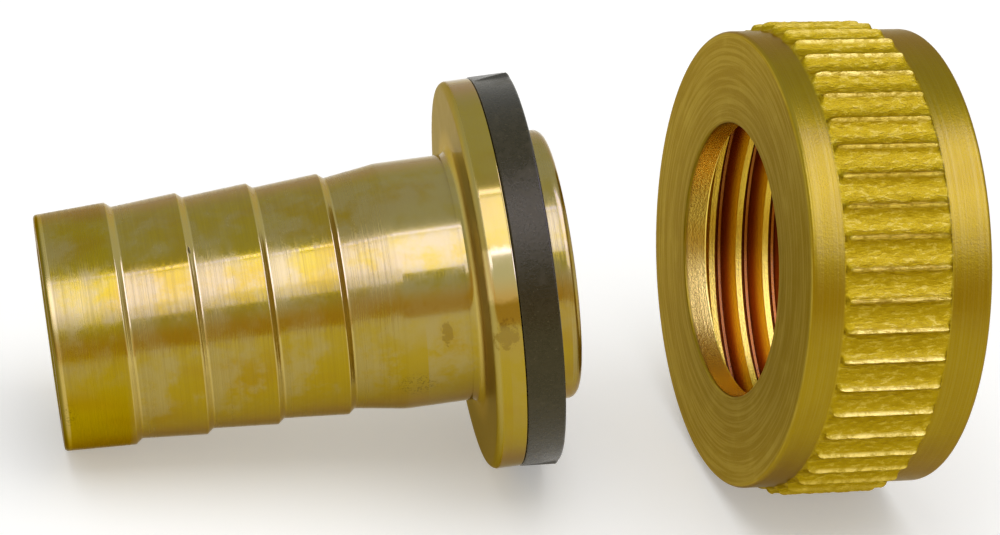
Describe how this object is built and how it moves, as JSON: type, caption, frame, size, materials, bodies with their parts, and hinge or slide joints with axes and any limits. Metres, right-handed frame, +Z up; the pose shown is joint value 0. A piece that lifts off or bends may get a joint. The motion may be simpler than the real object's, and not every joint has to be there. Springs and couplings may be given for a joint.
{
  "type": "hose barb tail",
  "caption": "Turned brass hose tail with ribbed barbs and a sealing flange, a flat rubber washer on its nose, and the loose knurled union nut that clamps the flange to a pipe thread.",
  "frame": {"origin": "on the floor, below the middle of the box round the tail, its washer and the nut lying beside them", "axes": "+X the way the tail points, from its hose end to its nose, seen from above; +Z up from the floor that both brass pieces lie on"},
  "size_m": [0.0552, 0.0296, 0.0291],
  "materials": {
    "tail_brass": "turned, satin with a polished collar",
    "washer_rubber": "matt black rubber",
    "nut_brass": "turned, satin, with a coarse knurl"
  },
  "bodies": {
    "root": {"hose_tail": "tail_brass", "sealing_washer": "washer_rubber", "coupling_nut": "nut_brass"}
  },
  "joints": []
}
